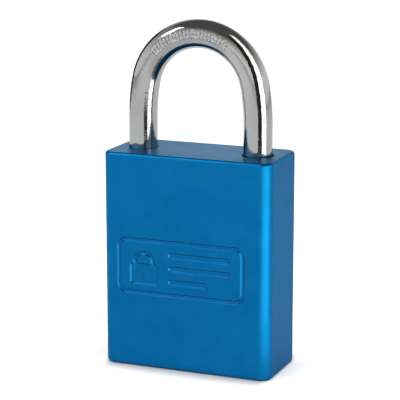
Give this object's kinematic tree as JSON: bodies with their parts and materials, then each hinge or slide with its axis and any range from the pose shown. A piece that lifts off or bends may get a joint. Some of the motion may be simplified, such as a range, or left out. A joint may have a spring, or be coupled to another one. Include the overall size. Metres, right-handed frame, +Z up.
{
  "type": "safety padlock",
  "caption": "Compact keyed safety padlock: solid blue aluminium block, chromed round-bar shackle held by two balls, brass pin cylinder under the base.",
  "frame": {"origin": "middle of the underside of the lock body, on the surface it stands on", "axes": "+X along the width towards the toe leg of the shackle, -Y is the front face with the emblem, +Z up the shackle"},
  "size_m": [0.039, 0.0182, 0.0769],
  "materials": {
    "blue_anodised": "satin blue anodised",
    "chromed_steel": "bright chrome plate with slight orange peel",
    "spring_steel": "drawn spring wire",
    "plain_steel": "turned steel",
    "bearing_steel": "polished ball",
    "cylinder_brass": "machined brass",
    "plug_brass": "faced brass",
    "black_steel": "black oxide",
    "pin_brass": "turned brass",
    "pin_steel": "turned steel"
  },
  "bodies": {
    "case": {"lock_body": "blue_anodised", "shackle_spring": "spring_steel", "shackle_retaining_pin": "plain_steel", "cylinder_shell": "cylinder_brass", "chamber_cover": "cylinder_brass", "cylinder_screw": "black_steel", "pin_spring_1": "spring_steel", "pin_spring_2": "spring_steel", "pin_spring_3": "spring_steel", "pin_spring_4": "spring_steel", "pin_spring_5": "spring_steel"},
    "shackle": {"shackle": "chromed_steel"},
    "plug": {"cylinder_plug": "plug_brass", "plug_clip": "spring_steel", "key_pin_1": "pin_brass", "key_pin_2": "pin_brass", "key_pin_3": "pin_brass", "key_pin_4": "pin_brass", "key_pin_5": "pin_brass"},
    "actuator": {"ball_actuator": "plain_steel"},
    "heel_ball": {"heel_locking_ball": "bearing_steel"},
    "toe_ball": {"toe_locking_ball": "bearing_steel"},
    "driver_1": {"driver_pin_1": "pin_steel"},
    "driver_2": {"driver_pin_2": "pin_steel"},
    "driver_3": {"driver_pin_3": "pin_steel"},
    "driver_4": {"driver_pin_4": "pin_steel"},
    "driver_5": {"driver_pin_5": "pin_steel"}
  },
  "joints": [
    {"name": "shackle_lift", "type": "slide", "parent": "case", "child": "shackle", "axis": [0, 0, 1], "range_m": [0, 0.015], "deforming": ["shackle_spring"]},
    {"name": "plug_turn", "type": "hinge", "parent": "case", "child": "plug", "pos_m": [0, 0, 0.0003], "axis": [0, 0, 1], "range_deg": [0, 90]},
    {"name": "actuator_turn", "type": "hinge", "parent": "case", "child": "actuator", "pos_m": [0, 0, 0.04], "axis": [0, 0, 1], "range_deg": [0, 90]},
    {"name": "heel_ball_draw", "type": "slide", "parent": "case", "child": "heel_ball", "axis": [1, 0, 0], "range_m": [0, 0.0036]},
    {"name": "toe_ball_draw", "type": "slide", "parent": "case", "child": "toe_ball", "axis": [-1, 0, 0], "range_m": [0, 0.0036]},
    {"name": "driver_1_push", "type": "slide", "parent": "case", "child": "driver_1", "axis": [1, 0, 0], "range_m": [0, 0.0016], "stiffness_N_per_m": 40, "springref_m": -0.003, "deforming": ["pin_spring_1"]},
    {"name": "driver_2_push", "type": "slide", "parent": "case", "child": "driver_2", "axis": [1, 0, 0], "range_m": [0, 0.0016], "stiffness_N_per_m": 40, "springref_m": -0.003, "deforming": ["pin_spring_2"]},
    {"name": "driver_3_push", "type": "slide", "parent": "case", "child": "driver_3", "axis": [1, 0, 0], "range_m": [0, 0.0016], "stiffness_N_per_m": 40, "springref_m": -0.003, "deforming": ["pin_spring_3"]},
    {"name": "driver_4_push", "type": "slide", "parent": "case", "child": "driver_4", "axis": [1, 0, 0], "range_m": [0, 0.0016], "stiffness_N_per_m": 40, "springref_m": -0.003, "deforming": ["pin_spring_4"]},
    {"name": "driver_5_push", "type": "slide", "parent": "case", "child": "driver_5", "axis": [1, 0, 0], "range_m": [0, 0.0016], "stiffness_N_per_m": 40, "springref_m": -0.003, "deforming": ["pin_spring_5"]}
  ],
  "couplings": [
    {"joint": "plug_turn", "follows": "shackle_lift", "rad_per_m": 104.72},
    {"joint": "actuator_turn", "follows": "shackle_lift", "rad_per_m": 104.72},
    {"joint": "heel_ball_draw", "follows": "shackle_lift", "ratio": 0.24},
    {"joint": "toe_ball_draw", "follows": "shackle_lift", "ratio": 0.24}
  ]
}
